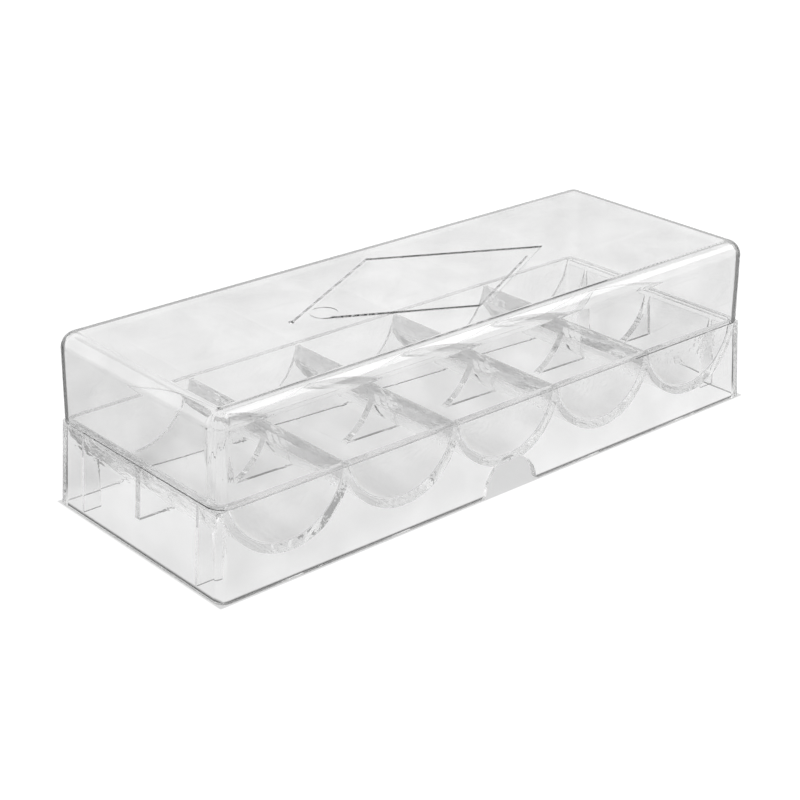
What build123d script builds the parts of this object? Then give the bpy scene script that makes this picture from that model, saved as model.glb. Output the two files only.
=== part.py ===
"""Clear moulded case for five rows of poker chips: a one-piece tray and its lift-off lid.

Frame: origin at the centre of the footprint, on the table. X runs along the case, across the five rows,
Y along each row, and Z up. The wall with the finger notch faces -Y.
"""

from build123d import *
from math import atan, degrees, hypot
import os

# ---- Driving dimensions, in millimetres ----
case_length = 210.0  # outside, at the foot of the tray
case_width = 79.5
case_height = 53.4
rim_height = 26.2  # from the table to the seam between the tray and the lid
wall = 2.0  # of the tray
lid_wall = 1.5

row_count = 5
row_pitch = 40.0
row_radius = 19.8  # takes chips up to 39.5 mm across
row_bottom = 9.8  # from the table to the lowest line of a trough
trough_length = 70.8

skirt_inset = 1.8  # how far each skirt wall leans in, from the foot to the rim
foot_corner = 3.3  # vertical corner radius at the foot
lip_height = 0.8  # the step inside the rim that keeps the lid in place
lip_clearance = 0.15
seat_gap = 0.05  # film of air between the rim and the lid

web_bottom = 9.6  # lower edge of the web under the ridges
web_thickness = 2.2
rib_offset = 27.5  # ribs behind the end walls, either side of the middle
rib_thickness = 1.0
rib_reach = 6.0
rib_bottom = 1.0
notch_radius = 10.3
notch_depth = 2.75  # from the outside of the foot
notch_lip = 1.2  # rounding where the notch meets the foot

lid_inset = 1.2  # lid wall against the foot of the tray, each side
lid_corner = 5.5  # vertical corner radius
lid_lean = 0.3  # how far the lid walls lean in, from the seam to the top
lid_top_edge = 5.0  # radius of the rounded edge all round the top

diamond_half_length = 49.5
diamond_half_width = 26.2
diamond_stroke = 1.5
diamond_depth = 0.4
diamond_corner = 4.0  # radius of the diamond's inner corners, and of the disc in one of them
disc_depth = 0.2
gate_radius = 0.9
gate_depth = 0.6

edge_round = 0.3
trough_corner = 0.8  # where a trough meets the long walls

# ---- Worked out from them ----
row_axis_height = row_bottom + row_radius
skirt_taper = degrees(atan(skirt_inset / rim_height))
hollow_corner = foot_corner - wall / 2

lid_length = case_length - 2 * lid_inset
lid_width = case_width - 2 * lid_inset
lid_bottom = rim_height + seat_gap
lid_height = case_height - lid_bottom
lid_taper = degrees(atan(lid_lean / lid_height))

lip_outset = lid_wall + lip_clearance  # from the outside of the lid to the lip
lip_inset = (lid_width - trough_length) / 2  # the troughs end flush with the lip

os.makedirs("parts", exist_ok=True)


# ---- Tray ----
# The hollow under the rows: it follows the skirt, and leaves the troughs, the web and the ribs standing.
with BuildPart() as hollow:
    with BuildSketch(Plane.XY):
        RectangleRounded(case_length - 2 * wall, case_width - 2 * wall, hollow_corner)
    extrude(amount=rim_height - wall, taper=skirt_taper)

    with BuildSketch(Plane.XZ):
        with Locations((0, row_axis_height)):
            with GridLocations(row_pitch, 0, row_count, 1):
                Circle(row_radius + wall)
    extrude(amount=case_width / 2, both=True, mode=Mode.SUBTRACT)

    with BuildSketch(Plane.XZ):
        with Locations((0, web_bottom)):
            Rectangle(case_length, rim_height, align=(Align.CENTER, Align.MIN))
    extrude(amount=web_thickness / 2, both=True, mode=Mode.SUBTRACT)

    with BuildSketch(Plane.XY.offset(rib_bottom)):
        with GridLocations(case_length - 2 * wall, 2 * rib_offset, 2, 2):
            Rectangle(2 * rib_reach, rib_thickness)
    extrude(amount=rim_height, mode=Mode.SUBTRACT)

# One trough, as the space it leaves: a cylinder whose ends are rounded into the long walls
with BuildPart() as trough:
    with BuildSketch(Plane.XZ):
        with Locations((0, row_axis_height)):
            Circle(row_radius)
    extrude(amount=trough_length / 2, both=True)
    fillet(trough.edges().filter_by(GeomType.CIRCLE), radius=trough_corner)

# The lip that keeps the lid in place: a low step just inside the lid's wall
with BuildPart() as lip:
    with BuildSketch(Plane.XY.offset(rim_height)):
        RectangleRounded(lid_length - 2 * lip_outset, lid_width - 2 * lip_outset, lid_corner - lip_outset)
        RectangleRounded(
            lid_length - 2 * lip_inset,
            lid_width - 2 * lip_inset,
            lid_corner - lip_inset,
            mode=Mode.SUBTRACT,
        )
    extrude(amount=lip_height)
    fillet(lip.faces().sort_by(Axis.Z)[-1].edges(), radius=edge_round)

with BuildPart() as chip_tray:
    with BuildSketch(Plane.XY):
        RectangleRounded(case_length, case_width, foot_corner)
    extrude(amount=rim_height, taper=skirt_taper)
    fillet(chip_tray.faces().filter_by(Axis.Z).edges(), radius=edge_round)

    add(lip.part)
    add(hollow.part, mode=Mode.SUBTRACT)
    with GridLocations(row_pitch, 0, row_count, 1):
        add(trough.part, mode=Mode.SUBTRACT)

    # Finger notch in the foot of the front wall, with its two lips rounded
    with BuildSketch(Plane.XZ.offset(case_width / 2 - notch_depth)) as notch:
        Circle(notch_radius)
        Rectangle(3 * notch_radius, notch_radius, align=(Align.CENTER, Align.MAX))
        lips = notch.vertices().filter_by(lambda v: abs(v.Z) < 0.01)
        fillet(lips, radius=notch_lip)
    extrude(amount=2 * notch_depth, mode=Mode.SUBTRACT)

chip_tray.part.label = "chip_tray"
export_step(chip_tray.part, "parts/chip_tray.step")


# ---- Lid ----
with BuildPart() as lid_core:
    with BuildSketch(Plane.XY.offset(lid_bottom)):
        RectangleRounded(lid_length - 2 * lid_wall, lid_width - 2 * lid_wall, lid_corner - lid_wall)
    extrude(amount=lid_height - lid_wall, taper=lid_taper)
    fillet(lid_core.faces().sort_by(Axis.Z)[-1].edges(), radius=lid_top_edge - lid_wall)

with BuildPart() as lid:
    with BuildSketch(Plane.XY.offset(lid_bottom)):
        RectangleRounded(lid_length, lid_width, lid_corner)
    extrude(amount=lid_height, taper=lid_taper)
    fillet(lid.faces().sort_by(Axis.Z)[-1].edges(), radius=lid_top_edge)
    add(lid_core.part, mode=Mode.SUBTRACT)

    # Diamond outline: an even groove, sharp outside, with its inner ends rounded
    diamond_side = hypot(diamond_half_length, diamond_half_width)
    stroke_share = diamond_stroke * diamond_side / (diamond_half_length * diamond_half_width)
    inner_half_length = diamond_half_length * (1 - stroke_share)
    inner_half_width = diamond_half_width * (1 - stroke_share)
    with BuildSketch(Plane.XY.offset(case_height)):
        with BuildLine():
            Polyline(
                (-diamond_half_length, 0),
                (0, -diamond_half_width),
                (diamond_half_length, 0),
                (0, diamond_half_width),
                close=True,
            )
        make_face()
        with BuildSketch(mode=Mode.PRIVATE) as inside:
            with BuildLine():
                Polyline(
                    (-inner_half_length, 0),
                    (0, -inner_half_width),
                    (inner_half_length, 0),
                    (0, inner_half_width),
                    close=True,
                )
            make_face()
            fillet(inside.vertices().sort_by(Axis.X)[0], radius=diamond_corner)
            fillet(inside.vertices().sort_by(Axis.X)[-1], radius=diamond_corner)
        add(inside.sketch, mode=Mode.SUBTRACT)
    extrude(amount=-diamond_depth, mode=Mode.SUBTRACT)

    # Round mark that fills the diamond's left corner
    disc_centre = -inner_half_length + diamond_corner * diamond_side / diamond_half_width
    with BuildSketch(Plane.XY.offset(case_height)):
        with Locations((disc_centre, 0)):
            Circle(diamond_corner)
    extrude(amount=-disc_depth, mode=Mode.SUBTRACT)

    # Dimple at the diamond's left tip, where the plastic was let into the mould
    with BuildSketch(Plane.XY.offset(case_height)):
        with Locations((-diamond_half_length, 0)):
            Circle(gate_radius)
    extrude(amount=-gate_depth, mode=Mode.SUBTRACT)

lid.part.label = "lid"
export_step(lid.part, "parts/lid.step")
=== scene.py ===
"""Looks for the clear poker chip case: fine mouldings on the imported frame, a pale table and soft light.

Sizes are in millimetres, in the part's own frame, unless they say otherwise. Every point is turned into
metres as its mesh is made.
"""

import math

import bpy
from mathutils import Matrix, Vector


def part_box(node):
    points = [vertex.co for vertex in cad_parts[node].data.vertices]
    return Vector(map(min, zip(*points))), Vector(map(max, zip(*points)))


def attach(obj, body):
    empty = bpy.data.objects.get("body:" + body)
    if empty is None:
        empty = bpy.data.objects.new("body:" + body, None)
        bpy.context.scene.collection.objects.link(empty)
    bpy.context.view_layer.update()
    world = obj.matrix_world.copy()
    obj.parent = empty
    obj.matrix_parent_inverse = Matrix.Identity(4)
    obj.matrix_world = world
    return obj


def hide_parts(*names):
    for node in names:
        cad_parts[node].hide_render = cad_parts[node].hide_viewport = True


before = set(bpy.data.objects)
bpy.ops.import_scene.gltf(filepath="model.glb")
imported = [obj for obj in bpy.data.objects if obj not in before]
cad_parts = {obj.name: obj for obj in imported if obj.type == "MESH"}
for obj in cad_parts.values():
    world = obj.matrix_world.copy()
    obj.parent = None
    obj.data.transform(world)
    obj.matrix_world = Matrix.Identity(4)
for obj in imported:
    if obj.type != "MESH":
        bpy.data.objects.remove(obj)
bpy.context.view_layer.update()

MM = 0.001

# ---- Sizes ----
tray_high = Vector(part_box("chip_tray")[1]) / MM
lid_low, lid_high = (Vector(corner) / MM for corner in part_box("lid"))

case_half_x, case_half_y = 105.0, 39.75  # at the foot of the tray
rim_height = 26.2
wall = 2.0
row_count = 5
row_pitch = 40.0
row_radius = 19.8
row_axis_height = 29.6
trough_half = 35.4
trough_corner = 0.8

skirt_inset = 1.8
foot_corner = 3.3
edge_round = 0.3
lip_height = tray_high.z - rim_height
lip_inset = 2.85  # from the foot to the outside of the lip
lip_thickness = 1.5
lip_flat = 0.1  # of the lip's top, in the block that its inside is cut from

web_bottom = 9.6
web_thickness = 2.2
rib_offset = 27.5
rib_thickness = 1.0
rib_reach = 6.0
rib_bottom = 1.0
notch_radius = 10.3
notch_depth = 2.75
notch_lip = 1.2

lid_half_x, lid_half_y = lid_high.x, lid_high.y
lid_bottom, lid_top = lid_low.z, lid_high.z
lid_wall = 1.5
lid_corner = 5.5
lid_lean = 0.3
lid_top_edge = 5.0

diamond_half_length = 49.5
diamond_half_width = 26.2
diamond_stroke = 1.5
diamond_depth = 0.4
diamond_draft = 0.5  # how far each groove wall leans, over its height
diamond_corner = 4.0
disc_depth = 0.2
gate_radius = 0.9
gate_depth = 0.6

arc_step = math.radians(4)  # the finest turn between two facets of a round edge
crease_angle = math.radians(32)  # facets that turn by less are shaded as one smooth face
trough_facets = 180  # in a whole turn
smallest_corner = 0.05
overshoot = 1.0  # how far a cutter runs past the face that it opens

# ---- Plastic ----
refractive_index = 1.59
haze_colour, haze_density = 0.4, 3.0
texture_low, texture_high = 0.3, 0.7  # a noise texture seldom goes beyond them
texture_detail = 1.5

blotch_scale = (70, 70, 70)  # features in a metre, on each axis
wave_scale = (60, 60, 60)
rim_streak_scale = (600, 180, 600)
corner_streak_scale = (700, 700, 50)
wave_height = 0.006
streak_height = 0.06
clearest, palest = 1.0, 0.92
# Painted shade: the walls of the notch and of the diamond's groove get a darker base colour, standing in for
# the dark surroundings that they pick up
painted_groove_shade = 0.7

# Where the plastic differs: limits for |x|, |y| and z, each from nothing to full; those at the notch and the
# diamond bound the painted shade
everywhere = (-1, 0)
near_rim = (everywhere, everywhere, (17.0, 21.0))
near_lid_corners = ((98.0, 100.0), (33.0, 35.0), everywhere)
painted_shade_at_notch = ((12.5, 12.3), (36.0, 36.5), (11.5, 11.0))
painted_shade_at_diamond = (everywhere, (31.0, 30.0), (52.5, 52.7))
# And the same for a normal, so that a face turned to one axis doesn't take the painted shade
steep = (0.95, 0.88)
not_facing_y = (everywhere, steep, everywhere)
not_facing_z = (everywhere, everywhere, steep)

# ---- Camera, at the photograph's angle ----
camera_azimuth, camera_elevation, camera_roll = -41.27, 24.26, 0.40  # degrees
camera_place = (-342.0, -379.6, 245.2)
camera_lens, camera_sensor = 82.7, 36.0
clip_start, clip_end = 0.01, 20.0  # metres

# ---- Light, with white paper as 1 ----
table_seen_directly = 1.02
# Painted shadow under the case, seen directly through the notch and just past the foot
painted_shadow_in_sight = 0.64
table_seen_through = 0.89
painted_light_left, painted_light_right = 0.94, 1.05  # painted light: shares of these at the ends of the case, lighter at the right
# Painted shadow of the case on the table, seen through the plastic
painted_shadow_under_case = 0.91
table_size = 8.0  # metres
table_drop = 0.1  # below the foot, so that the two don't share a plane
table_colour = (0.05, 0.05, 0.05, 1)
table_roughness = 0.4
table_gloss = 0.2
painted_shadow_reach = 80.0  # how far the case's painted shadow reaches on the table
edge_reach = 0.6  # how far the painted shadow reaches in plain sight, and the painted contact shadow behind one wall
contact_shadow_share = 0.1  # painted contact shadow, just behind the near walls of the foot
# where the painted contact shadow starts and ends, from the inside of the near walls
contact_shadow_start, contact_shadow_end = 0.4, 1.2
one_wall_depth = 2  # surfaces passed, with a mirror counted as two
near_left_edge = 8.0
near_left_painted_light = 1.4  # painted pool of light on the table, by the case's left end and front
walls_brightness = 0.9
ceiling_brightness = 0.8
walls_end = 0.55  # sine of the elevation
ceiling_start = 0.72
far_right_start, far_right_end = 0.2, 0.4  # part of the direction along X
few_turns, many_turns = 1, 2  # inside the plastic
shallow, deep = 4, 6  # surfaces passed before the first turn
# painted shade on the table, for light that has turned in the plastic
table_after_few, table_after_many = 0.12, 0.95
room_after_few, room_after_many = 0.15, 0.95
room_at_surface = 0.5  # after one turn in the first wall
panel_after_turns = 0.5
turned_reach = 12.0  # how far outside the case the table has painted shade for light that has turned
white = (1, 1, 1, 1)
bounces = 64  # light is guided along the clear walls for long before it leaves them


# ---- Mesh work ----
def arc(centre, radius, start, end):
    """Points of an arc in the plane, from one angle to another, ends included."""
    steps = max(3, math.ceil(abs(end - start) / arc_step))
    angles = [start + (end - start) * step / steps for step in range(steps + 1)]
    return [Vector((centre[0] + radius * math.cos(a), centre[1] + radius * math.sin(a))) for a in angles]


def rounded_path(corners):
    """An open path through corners given as (across, up, radius), each one turned by an arc of its radius."""
    path = [Vector(corners[0][:2])]
    for before, corner, after in zip(corners, corners[1:], corners[2:]):
        here = Vector(corner[:2])
        back = (Vector(before[:2]) - here).normalized()
        onward = (Vector(after[:2]) - here).normalized()
        radius = corner[2]
        if radius == 0:
            path.append(here)
            continue
        half = back.angle(onward) / 2
        centre = here + (back + onward).normalized() * radius / math.sin(half)
        start = here + back * radius / math.tan(half) - centre
        end = here + onward * radius / math.tan(half) - centre
        first = math.atan2(start.y, start.x)
        turn = math.remainder(math.atan2(end.y, end.x) - first, math.tau)
        path += arc(centre, radius, first, first + turn)
    path.append(Vector(corners[-1][:2]))
    return path


def rounded_rectangle(half_x, half_y, corner):
    """Outline of a rounded rectangle, anticlockwise from its right side."""
    corner = max(corner, smallest_corner)
    outline = []
    for quarter, (side_x, side_y) in enumerate([(1, 1), (-1, 1), (-1, -1), (1, -1)]):
        centre = (side_x * (half_x - corner), side_y * (half_y - corner))
        outline += arc(centre, corner, quarter * math.pi / 2, (quarter + 1) * math.pi / 2)
    return outline


def loft(rings):
    """A closed solid through rings of points, each ring anticlockwise about the way that they follow."""
    count = len(rings[0])
    points = [Vector(point) * MM for ring in rings for point in ring]
    faces = [tuple(reversed(range(count)))]
    for lower in range(0, len(points) - count, count):
        for i in range(count):
            j = (i + 1) % count
            faces.append((lower + i, lower + j, lower + count + j, lower + count + i))
    faces.append(tuple(range(len(points) - count, len(points))))
    mesh = bpy.data.meshes.new("loft")
    mesh.from_pydata(points, [], faces)
    return mesh


def turned_box(profile, half_x, half_y, corner):
    """A rounded box whose walls follow a profile of (inset, height); corner gives the radius at an inset."""
    rings = []
    for inset, height in profile:
        outline = rounded_rectangle(half_x - inset, half_y - inset, corner(inset))
        rings.append([(point.x, point.y, height) for point in outline])
    return loft(rings)


def prism_up(outline, bottom, top):
    """A flat outline in X and Y, stretched up in Z."""
    return loft([[(point[0], point[1], height) for point in outline] for height in (bottom, top)])


def prism_along(outline, front, back):
    """A flat outline in X and Z, anticlockwise as seen from -Y, stretched along Y."""
    return loft([[(point[0], y, point[1]) for point in reversed(outline)] for y in (front, back)])


def box_outline(low_x, low_y, high_x, high_y):
    return [(low_x, low_y), (high_x, low_y), (high_x, high_y), (low_x, high_y)]


def combine(base, operation, tools):
    """The base mesh with each tool cut away or joined on."""
    scene = bpy.context.scene.collection
    holder = bpy.data.objects.new("base", base)
    scene.objects.link(holder)
    helpers = []
    for tool in tools:
        helper = bpy.data.objects.new("tool", tool)
        scene.objects.link(helper)
        helpers.append(helper)
        boolean = holder.modifiers.new("combine", "BOOLEAN")
        boolean.operation = operation
        boolean.solver = "EXACT"
        boolean.object = helper
    bpy.context.view_layer.update()
    result = bpy.data.meshes.new_from_object(holder.evaluated_get(bpy.context.evaluated_depsgraph_get()))
    for helper in [holder] + helpers:
        data = helper.data
        bpy.data.objects.remove(helper)
        bpy.data.meshes.remove(data)
    return result


def moulding(name, mesh, node, body, material):
    """Stand the finished mesh in for a CAD node, with smooth curves and crisp edges."""
    mesh.shade_smooth()
    mesh.set_sharp_from_angle(angle=crease_angle)
    mesh.materials.clear()
    mesh.materials.append(material)
    mesh.name = name
    piece = bpy.data.objects.new(name, mesh)
    bpy.context.scene.collection.objects.link(piece)
    normals = piece.modifiers.new("flat faces stay flat", "WEIGHTED_NORMAL")
    normals.keep_sharp = True
    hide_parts(node)
    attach(piece, body)


# ---- Tray ----
def skirt_inset_at(height):
    return skirt_inset * height / rim_height


def tray_corner(inset):
    """Vertical corner radius of the tray: the skirt's own, and the lid's from the lip inwards."""
    if inset < lip_inset - edge_round:
        return foot_corner - inset
    return lid_corner + case_half_x - lid_half_x - inset


def tray_block():
    """The skirt, its rim and the lip, as one solid."""
    profile = rounded_path([
        (wall, 0, 0),
        (0, 0, edge_round),
        (skirt_inset, rim_height, edge_round),
        (lip_inset, rim_height, 0),
        (lip_inset, rim_height + lip_height, edge_round),
        (lip_inset + edge_round + lip_flat, rim_height + lip_height, 0),
    ])
    return turned_box(profile, case_half_x, case_half_y, tray_corner)


def lip_cavity():
    """The space inside the lip, over the rows."""
    inset = lip_inset + lip_thickness
    top = rim_height + lip_height
    profile = rounded_path([
        (inset, rim_height, 0),
        (inset, top, 0),
        (inset - edge_round, top + edge_round, 0),
    ])
    return turned_box(profile, case_half_x, case_half_y, tray_corner)


def row_centres():
    return [row_pitch * (row - (row_count - 1) / 2) for row in range(row_count)]


def circle_along(centre_x, radius, y):
    """A circle about a row's axis, anticlockwise about +Y."""
    angles = [math.tau * step / trough_facets for step in range(trough_facets)]
    return [
        (centre_x + radius * math.cos(a), y, row_axis_height - radius * math.sin(a))
        for a in angles
    ]


def trough(centre_x):
    """The space of one row: a cylinder with rounded ends."""
    profile = rounded_path([
        (row_radius - 3 * trough_corner, -trough_half, 0),
        (row_radius, -trough_half, trough_corner),
        (row_radius, trough_half, trough_corner),
        (row_radius - 3 * trough_corner, trough_half, 0),
    ])
    return loft([circle_along(centre_x, radius, y) for radius, y in profile])


def hollow():
    """The space under the rows, which leaves the troughs, the web and the ribs standing."""
    ceiling = rim_height - wall
    profile = [
        (wall - skirt_inset_at(overshoot), -overshoot),
        (wall + skirt_inset_at(ceiling), ceiling),
    ]
    space = turned_box(profile, case_half_x, case_half_y, lambda inset: foot_corner + wall / 2 - inset)
    reach = case_half_y + overshoot
    keep = [
        loft([circle_along(centre, row_radius + wall, y) for y in (-reach, reach)])
        for centre in row_centres()
    ]
    half_web = web_thickness / 2
    web = box_outline(-case_half_x, web_bottom, case_half_x, rim_height)
    keep.append(prism_along(web, -half_web, half_web))
    for side_x in (-1, 1):
        middle = side_x * (case_half_x - wall)
        for side_y in (-1, 1):
            foot = box_outline(
                middle - rib_reach,
                side_y * rib_offset - rib_thickness / 2,
                middle + rib_reach,
                side_y * rib_offset + rib_thickness / 2,
            )
            keep.append(prism_up(foot, rib_bottom, rim_height))
    return combine(space, "DIFFERENCE", keep)


def notch():
    """The finger notch: a half circle whose lips are rounded into the foot."""
    lip_centre = math.sqrt((notch_radius + notch_lip) ** 2 - notch_lip ** 2)
    lean = math.asin(notch_lip / (notch_radius + notch_lip))
    outline = [(-lip_centre, -overshoot), (lip_centre, -overshoot)]
    outline += arc((lip_centre, notch_lip), notch_lip, -math.pi / 2, lean - math.pi)
    outline += arc((0, 0), notch_radius, lean, math.pi - lean)
    outline += arc((-lip_centre, notch_lip), notch_lip, -lean, -math.pi / 2)
    return prism_along(outline, -case_half_y - notch_depth, -case_half_y + notch_depth)


def chip_tray():
    """The whole tray, cut out of its block."""
    cutters = [lip_cavity()] + [trough(centre) for centre in row_centres()] + [hollow(), notch()]
    return combine(tray_block(), "DIFFERENCE", cutters)


# ---- Lid ----
def lid_block():
    """The outside of the cover, filled."""
    profile = rounded_path([
        (lid_wall, lid_bottom, 0),
        (0, lid_bottom, edge_round),
        (lid_lean, lid_top, lid_top_edge),
        (lid_lean + lid_top_edge + lid_wall, lid_top, 0),
    ])
    return turned_box(profile[:-1], lid_half_x, lid_half_y, lambda inset: lid_corner - inset)


def lid_core():
    """The space inside the cover, which leaves the lid's lower edge rounded."""
    ceiling = lid_top - lid_wall
    profile = rounded_path([
        (lid_wall - edge_round, lid_bottom, 0),
        (lid_wall, lid_bottom, edge_round),
        (lid_wall + lid_lean, ceiling, lid_top_edge - lid_wall),
        (lid_wall + lid_lean + lid_top_edge, ceiling, 0),
    ])
    profile[0] = Vector((lid_wall - edge_round, lid_bottom - overshoot))
    return turned_box(profile[:-1], lid_half_x, lid_half_y, lambda inset: lid_corner - inset)


def diamond(share, corner):
    """The diamond at a share of its full size, with a radius at its left and right corners."""
    half_x, half_y = diamond_half_length * share, diamond_half_width * share
    start = (half_x / 2, half_y / 2)
    return rounded_path([
        (*start, 0),
        (0, half_y, 0),
        (-half_x, 0, corner),
        (0, -half_y, 0),
        (half_x, 0, corner),
        (*start, 0),
    ])[:-1]


def leaning_diamond(share, corner, lean, reach):
    """The diamond as a cutter, whose wall leans by a share either way between the groove's floor and top."""
    floor = lid_top - diamond_depth
    sections = [
        (share - lean, floor),
        (share + lean, lid_top),
        (share + lean, lid_top + overshoot + reach),
    ]
    if reach:
        sections.insert(0, (share - lean, floor - reach))
    rings = []
    for size, height in sections:
        rings.append([(point.x, point.y, height) for point in diamond(size, corner)])
    return loft(rings)


def lid():
    """The cover, with its diamond outline, the round mark in one corner and the dimple at that tip."""
    side = math.hypot(diamond_half_length, diamond_half_width)
    share_per_mm = side / (diamond_half_length * diamond_half_width)
    inner_share = 1 - diamond_stroke * share_per_mm
    lean = share_per_mm * diamond_draft / 2
    outside = leaning_diamond(1, 0, lean, 0)
    inside = leaning_diamond(inner_share, diamond_corner, -lean, overshoot)
    groove = combine(outside, "DIFFERENCE", [inside])
    disc_centre = -diamond_half_length * inner_share + diamond_corner * side / diamond_half_width
    above = lid_top + overshoot
    disc = prism_up(arc((disc_centre, 0), diamond_corner, 0, math.tau)[:-1], lid_top - disc_depth, above)
    gate = prism_up(
        arc((-diamond_half_length, 0), gate_radius, 0, math.tau)[:-1],
        lid_top - gate_depth,
        above,
    )
    return combine(lid_block(), "DIFFERENCE", [lid_core(), groove, disc, gate])


# ---- Materials ----
def map_range(nodes, low, high, out_low, out_high):
    """A clamped straight-line map, as a node."""
    node = nodes.new("ShaderNodeMapRange")
    node.inputs["From Min"].default_value = low
    node.inputs["From Max"].default_value = high
    node.inputs["To Min"].default_value = out_low
    node.inputs["To Max"].default_value = out_high
    return node


def multiply(nodes, links, *sockets):
    """The product of sockets."""
    product = sockets[0]
    for socket in sockets[1:]:
        node = nodes.new("ShaderNodeMath")
        node.operation = "MULTIPLY"
        links.new(product, node.inputs[0])
        links.new(socket, node.inputs[1])
        product = node.outputs["Value"]
    return product


def noise(nodes, links, place, scale, low, high):
    """A noise from low to high, with scale features in a metre on each axis."""
    stretched = nodes.new("ShaderNodeVectorMath")
    stretched.operation = "MULTIPLY"
    stretched.inputs[1].default_value = scale
    texture = nodes.new("ShaderNodeTexNoise")
    texture.inputs["Scale"].default_value = 1.0
    texture.inputs["Detail"].default_value = texture_detail
    links.new(place, stretched.inputs[0])
    links.new(stretched.outputs["Vector"], texture.inputs["Vector"])
    level = map_range(nodes, texture_low, texture_high, low, high)
    links.new(texture.outputs["Fac"], level.inputs["Value"])
    return level.outputs["Result"]


def inside_masks(nodes, links, vector, limits, unit):
    """One mask for each axis of a vector: 0 at the first of its limits, in a unit, and 1 at the second."""
    mirrored = nodes.new("ShaderNodeVectorMath")
    mirrored.operation = "ABSOLUTE"
    split = nodes.new("ShaderNodeSeparateXYZ")
    links.new(vector, mirrored.inputs[0])
    links.new(mirrored.outputs["Vector"], split.inputs["Vector"])
    masks = []
    for axis, (none, full) in zip("XYZ", limits):
        mask = map_range(nodes, none * unit, full * unit, 0, 1)
        links.new(split.outputs[axis], mask.inputs["Value"])
        masks.append(mask.outputs["Result"])
    return masks


def clear_plastic(name, streak_scale, streaked, cut, cut_walls):
    """Clear, polished polystyrene: a little wavy, faintly uneven, and streaked where it flowed last.

    Streaked and cut are limits of place, and cut_walls are limits of a normal: the walls of a cut get painted
    shade, a darker base colour.
    """
    material = bpy.data.materials.new(name)
    material.use_nodes = True
    nodes, links = material.node_tree.nodes, material.node_tree.links
    shader = nodes["Principled BSDF"]
    shader.inputs["Transmission Weight"].default_value = 1.0
    shader.inputs["IOR"].default_value = refractive_index
    shader.inputs["Roughness"].default_value = 0.0
    haze = nodes.new("ShaderNodeVolumeAbsorption")
    haze.inputs["Color"].default_value = (haze_colour, haze_colour, haze_colour, 1)
    haze.inputs["Density"].default_value = haze_density
    links.new(haze.outputs["Volume"], nodes["Material Output"].inputs["Volume"])

    place = nodes.new("ShaderNodeTexCoord").outputs["Object"]
    normal = nodes.new("ShaderNodeNewGeometry").outputs["Normal"]
    # Painted shade: the walls of a cut get a darker base colour
    facing = inside_masks(nodes, links, normal, cut_walls, 1)
    groove = multiply(nodes, links, *facing, *inside_masks(nodes, links, place, cut, MM))
    painted_wall_shade = map_range(nodes, 0, 1, 1, painted_groove_shade)
    links.new(groove, painted_wall_shade.inputs["Value"])
    blotches = noise(nodes, links, place, blotch_scale, palest, clearest)
    links.new(multiply(nodes, links, painted_wall_shade.outputs["Result"], blotches), shader.inputs["Base Color"])

    waves = noise(nodes, links, place, wave_scale, 0, wave_height * MM)
    streaks = noise(nodes, links, place, streak_scale, 0, streak_height * MM)
    streaks = multiply(nodes, links, streaks, *inside_masks(nodes, links, place, streaked, MM))
    total = nodes.new("ShaderNodeMath")
    total.operation = "ADD"
    links.new(waves, total.inputs[0])
    links.new(streaks, total.inputs[1])
    bump = nodes.new("ShaderNodeBump")
    bump.inputs["Distance"].default_value = 1.0
    links.new(total.outputs["Value"], bump.inputs["Height"])
    links.new(bump.outputs["Normal"], shader.inputs["Normal"])
    return material


# ---- Studio ----
def square(name, size, height):
    """A level square at a height, in metres, put in the scene."""
    half = size / 2
    mesh = bpy.data.meshes.new(name)
    corners = box_outline(-half, -half, half, half)
    mesh.from_pydata([(x, y, height) for x, y in corners], [], [(0, 1, 2, 3)])
    piece = bpy.data.objects.new(name, mesh)
    bpy.context.scene.collection.objects.link(piece)
    return piece


def studio_camera():
    """The camera that took the photograph, solved from the case's own corners."""
    azimuth, elevation, roll = map(math.radians, (camera_azimuth, camera_elevation, camera_roll))
    back = Vector((
        math.sin(azimuth) * math.cos(elevation),
        -math.cos(azimuth) * math.cos(elevation),
        math.sin(elevation),
    ))
    data = bpy.data.cameras.new("camera")
    data.lens = camera_lens
    data.sensor_width = camera_sensor
    data.clip_start, data.clip_end = clip_start, clip_end
    camera = bpy.data.objects.new("camera", data)
    bpy.context.scene.collection.objects.link(camera)
    camera.rotation_mode = "QUATERNION"
    turn = (-back).to_track_quat("-Z", "Y")
    camera.rotation_quaternion = turn @ Matrix.Rotation(roll, 4, "Z").to_quaternion()
    camera.location = Vector(camera_place) * MM
    bpy.context.scene.camera = camera


def share_in_plastic(nodes, links, after_few, after_many, at_surface):
    """A share of a glow for light that has turned inside the plastic: least after the first turn, if it is
    deep. On the table it paints shade; for the room and the panels it dims the light.
    """
    path = nodes.new("ShaderNodeLightPath")
    inside = map_range(nodes, 0, 1, 0, 1)
    turned = map_range(nodes, 0, 1, 0, 1)
    first = map_range(nodes, shallow, deep, at_surface, after_few)
    left_over = map_range(nodes, few_turns, many_turns, after_few, after_many)
    share = map_range(nodes, 0, 1, 1, 1)
    links.new(path.outputs["Transmission Depth"], inside.inputs["Value"])
    links.new(path.outputs["Transmission Depth"], first.inputs["Value"])
    links.new(path.outputs["Glossy Depth"], turned.inputs["Value"])
    links.new(path.outputs["Glossy Depth"], left_over.inputs["Value"])
    links.new(first.outputs["Result"], left_over.inputs["To Min"])
    turned_inside = multiply(nodes, links, inside.outputs["Result"], turned.outputs["Result"])
    links.new(turned_inside, share.inputs["Value"])
    links.new(left_over.outputs["Result"], share.inputs["To Max"])
    return share.outputs["Result"]


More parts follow.
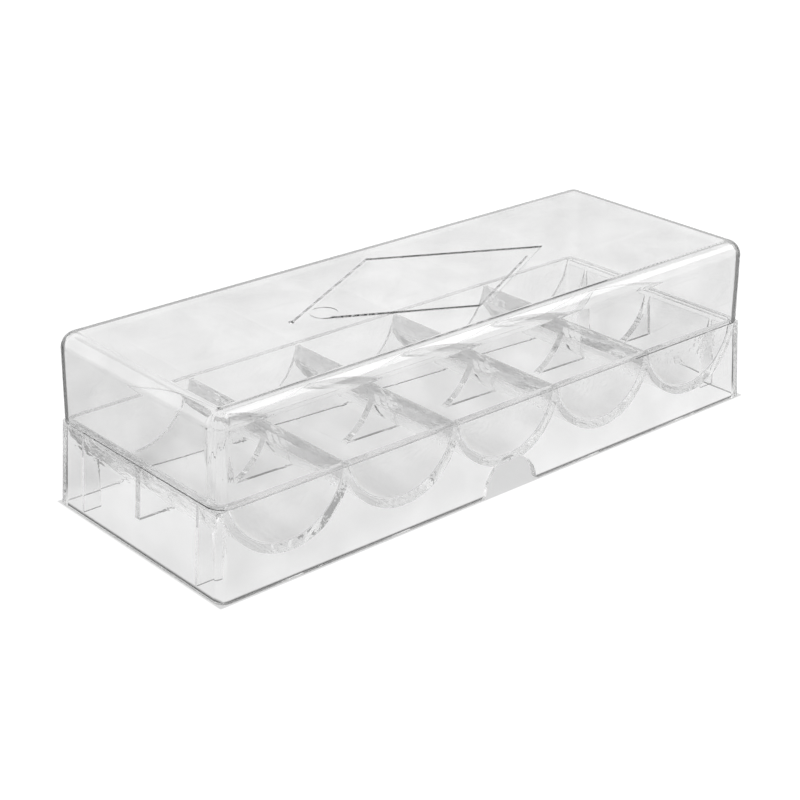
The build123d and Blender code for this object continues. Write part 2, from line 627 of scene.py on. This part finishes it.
def table():
    """A pale table that glows: white in plain sight but for a painted shadow under the case and at its foot;
    through the plastic it has painted shade and light: the case's painted shadow, a painted contact shadow
    behind the foot's near walls, painted shade around the case for light that has turned, a lighter right end
    and a painted pool of light on the near left.
    """
    floor = square("table", table_size, -table_drop * MM)
    material = bpy.data.materials.new("table")
    material.use_nodes = True
    nodes, links = material.node_tree.nodes, material.node_tree.links
    shader = nodes["Principled BSDF"]
    shader.inputs["Base Color"].default_value = table_colour
    shader.inputs["Roughness"].default_value = table_roughness
    shader.inputs["Specular IOR Level"].default_value = table_gloss
    shader.inputs["Emission Color"].default_value = white

    place = nodes.new("ShaderNodeNewGeometry")
    mirrored = nodes.new("ShaderNodeVectorMath")
    mirrored.operation = "ABSOLUTE"
    beyond = nodes.new("ShaderNodeVectorMath")
    beyond.operation = "SUBTRACT"
    # The third share is past any height, so that only X and Y count
    beyond.inputs[1].default_value = (case_half_x * MM, case_half_y * MM, 1.0)
    outside = nodes.new("ShaderNodeVectorMath")
    outside.operation = "MAXIMUM"
    distance = nodes.new("ShaderNodeVectorMath")
    distance.operation = "LENGTH"
    links.new(place.outputs["Position"], mirrored.inputs[0])
    links.new(mirrored.outputs["Vector"], beyond.inputs[0])
    links.new(beyond.outputs["Vector"], outside.inputs[0])
    links.new(outside.outputs["Vector"], distance.inputs[0])
    # Painted shadow: through the plastic, the table is dimmed under and near the case
    through = map_range(nodes, 0, painted_shadow_reach * MM, painted_shadow_under_case, table_seen_through)
    links.new(distance.outputs["Value"], through.inputs["Value"])

    position = nodes.new("ShaderNodeSeparateXYZ")
    links.new(place.outputs["Position"], position.inputs["Vector"])
    # Painted light: through the plastic, the table is lighter towards the right end
    across = map_range(nodes, -case_half_x * MM, case_half_x * MM, painted_light_left, painted_light_right)
    links.new(position.outputs["X"], across.inputs["Value"])

    # Painted contact shadow: darkest just behind the near walls of the foot, when seen through one wall only
    path = nodes.new("ShaderNodeLightPath")
    depth = nodes.new("ShaderNodeMath")
    depth.operation = "MULTIPLY_ADD"
    depth.inputs[1].default_value = 2.0
    links.new(path.outputs["Glossy Depth"], depth.inputs[0])
    links.new(path.outputs["Transmission Depth"], depth.inputs[2])
    one_wall = map_range(nodes, one_wall_depth, one_wall_depth + 1, contact_shadow_share, 1)
    links.new(depth.outputs["Value"], one_wall.inputs["Value"])
    around_foot = map_range(nodes, 0, one_wall_depth, contact_shadow_share, 1)
    links.new(path.outputs["Transmission Depth"], around_foot.inputs["Value"])
    under_wall = map_range(nodes, 0, edge_reach * MM, contact_shadow_share, 1)
    links.new(distance.outputs["Value"], under_wall.inputs["Value"])
    links.new(around_foot.outputs["Result"], under_wall.inputs["To Max"])
    links.new(under_wall.outputs["Result"], one_wall.inputs["To Min"])
    contact = []
    for axis, half in zip("XY", (case_half_x, case_half_y)):
        behind_wall = wall - half
        strip = map_range(nodes, (behind_wall + contact_shadow_start) * MM, (behind_wall + contact_shadow_end) * MM, 1, 1)
        links.new(position.outputs[axis], strip.inputs["Value"])
        links.new(one_wall.outputs["Result"], strip.inputs["To Min"])
        contact.append(strip.outputs["Result"])

    # Painted shade: light that has turned in the plastic finds the table dark around the case, but not on the
    # near left, which has a painted pool of light
    left = map_range(nodes, -case_half_x * MM, -(case_half_x + near_left_edge) * MM, 0, 1)
    front = map_range(nodes, (case_half_y + near_left_edge) * MM, case_half_y * MM, 0, 1)
    links.new(position.outputs["X"], left.inputs["Value"])
    links.new(position.outputs["Y"], front.inputs["Value"])
    near_left = multiply(nodes, links, left.outputs["Result"], front.outputs["Result"])
    painted_light_boost = map_range(nodes, 0, 1, 1, near_left_painted_light)
    links.new(near_left, painted_light_boost.inputs["Value"])
    around = map_range(nodes, 0, 1, 1, 1)
    links.new(near_left, around.inputs["Value"])
    table_share = share_in_plastic(nodes, links, table_after_few, table_after_many, table_after_few)
    links.new(table_share, around.inputs["To Min"])
    turned = map_range(nodes, 0, turned_reach * MM, 1, 1)
    links.new(distance.outputs["Value"], turned.inputs["Value"])
    links.new(around.outputs["Result"], turned.inputs["To Max"])
    levels = [node.outputs["Result"] for node in (through, across, painted_light_boost, turned)]
    dimmed = multiply(nodes, links, *levels, *contact)

    # In plain sight: white, but for a painted shadow under the case that fades just past the foot
    direct = map_range(nodes, 0, edge_reach * MM, painted_shadow_in_sight, table_seen_directly)
    links.new(distance.outputs["Value"], direct.inputs["Value"])

    level = map_range(nodes, 0, 1, 0, 1)
    links.new(path.outputs["Is Camera Ray"], level.inputs["Value"])
    links.new(dimmed, level.inputs["To Min"])
    links.new(direct.outputs["Result"], level.inputs["To Max"])
    links.new(level.outputs["Result"], shader.inputs["Emission Strength"])
    floor.data.materials.append(material)


def softbox(name, direction, distance, size, radiance):
    """A square panel of light that faces the case; distance and size are in metres."""
    material = bpy.data.materials.new(name)
    material.use_nodes = True
    nodes, links = material.node_tree.nodes, material.node_tree.links
    glow = nodes.new("ShaderNodeEmission")
    strength = map_range(nodes, 0, 1, 0, radiance)
    share = share_in_plastic(nodes, links, panel_after_turns, panel_after_turns, panel_after_turns)
    links.new(share, strength.inputs["Value"])
    links.new(strength.outputs["Result"], glow.inputs["Strength"])
    links.new(glow.outputs["Emission"], nodes["Material Output"].inputs["Surface"])
    panel = square(name, size, 0)
    panel.data.materials.append(material)
    panel.location = Vector(direction).normalized() * distance
    panel.rotation_mode = "QUATERNION"
    panel.rotation_quaternion = (-panel.location).to_track_quat("Z", "Y")


def surroundings():
    """A room with pale walls all round and a dimmer ceiling."""
    world = bpy.data.worlds.new("studio")
    bpy.context.scene.world = world
    world.use_nodes = True
    nodes, links = world.node_tree.nodes, world.node_tree.links
    direction = nodes.new("ShaderNodeTexCoord")
    split = nodes.new("ShaderNodeSeparateXYZ")
    level = map_range(nodes, walls_end, ceiling_start, walls_brightness, ceiling_brightness)
    links.new(direction.outputs["Generated"], split.inputs["Vector"])
    links.new(split.outputs["Z"], level.inputs["Value"])
    # Only the far right of the room is dark for light that has turned in the plastic
    far_right = map_range(nodes, far_right_start, far_right_end, room_after_many, 1)
    links.new(split.outputs["X"], far_right.inputs["Value"])
    room_share = share_in_plastic(nodes, links, room_after_few, room_after_many, room_at_surface)
    links.new(room_share, far_right.inputs["To Max"])
    strength = multiply(nodes, links, level.outputs["Result"], far_right.outputs["Result"])
    links.new(strength, nodes["Background"].inputs["Strength"])
    nodes["Background"].inputs["Color"].default_value = white


# The tray's streaks are near its rim, and the lid's run down its corners; the walls of the notch and of the
# groove get painted shade
tray_plastic = clear_plastic("tray_plastic", rim_streak_scale, near_rim, painted_shade_at_notch, not_facing_y)
lid_plastic = clear_plastic("lid_plastic", corner_streak_scale, near_lid_corners, painted_shade_at_diamond, not_facing_z)
moulding("chip_tray_moulding", chip_tray(), "chip_tray", "tray", tray_plastic)
moulding("lid_moulding", lid(), "lid", "lid", lid_plastic)

studio_camera()
table()
surroundings()
softbox("right", direction=(0.6, -0.3, 0.72), distance=1.6, size=0.9, radiance=3.0)
softbox("left", direction=(-0.41, 0.685, 0.6), distance=1.6, size=0.6, radiance=1.0)

bpy.context.scene.view_settings.view_transform = "Standard"
bpy.context.scene.cycles.max_bounces = bounces
bpy.context.scene.cycles.transmission_bounces = bounces
bpy.context.scene.cycles.glossy_bounces = bounces
